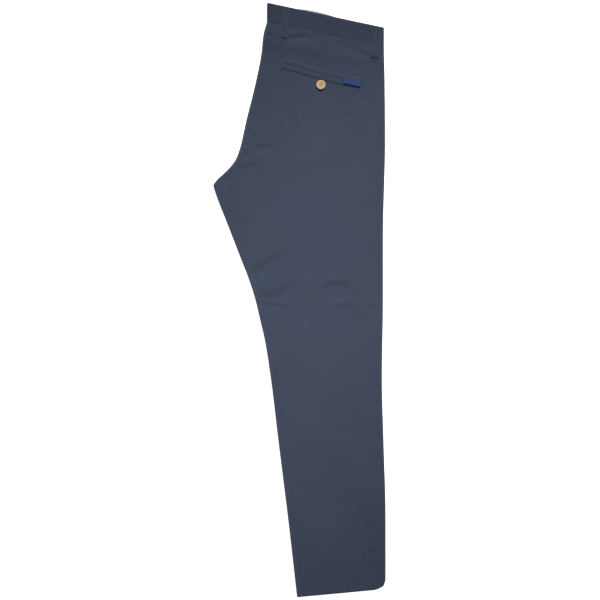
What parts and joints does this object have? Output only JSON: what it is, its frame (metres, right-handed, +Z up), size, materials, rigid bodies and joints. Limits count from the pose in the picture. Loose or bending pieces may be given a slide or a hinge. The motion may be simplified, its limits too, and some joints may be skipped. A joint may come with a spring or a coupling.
{
  "type": "chino trousers, folded in half and laid flat",
  "caption": "Navy cotton twill chino trousers folded in half lengthwise and laid flat, right back on top, with waistband, belt loops and a buttoned welt pocket.",
  "frame": {"origin": "centre of the garment's bounding box in plan, on the surface that it lies on", "axes": "+Y from the hems to the waist, +X from the inside leg to the outside leg, +Z up out of the surface, through the stack of layers"},
  "size_m": [0.3336, 1.1435, 0.0191],
  "materials": {
    "navy_twill": "matte cotton twill",
    "zip_tape": "woven tape",
    "lining_cotton": "plain cotton",
    "label_weave": "bare woven tab",
    "button_horn": "polished"
  },
  "bodies": {
    "root": {"right_back_panel": "navy_twill", "right_front_panel": "navy_twill", "left_front_panel": "navy_twill", "left_back_panel": "navy_twill", "right_waistband": "navy_twill", "left_waistband": "navy_twill", "front_band_lining": "lining_cotton", "right_back_belt_loop": "navy_twill", "right_side_belt_loop": "navy_twill", "right_front_belt_loop": "navy_twill", "left_back_belt_loop": "navy_twill", "left_side_belt_loop": "navy_twill", "left_front_belt_loop": "navy_twill", "right_pocket_upper_welt": "navy_twill", "right_pocket_lower_welt": "navy_twill", "right_pocket_button": "button_horn", "right_pocket_label": "label_weave", "left_pocket_upper_welt": "navy_twill", "left_pocket_lower_welt": "navy_twill", "left_pocket_button": "button_horn", "fly_shield": "navy_twill", "fly_zip": "zip_tape", "waist_button": "button_horn"}
  },
  "joints": []
}
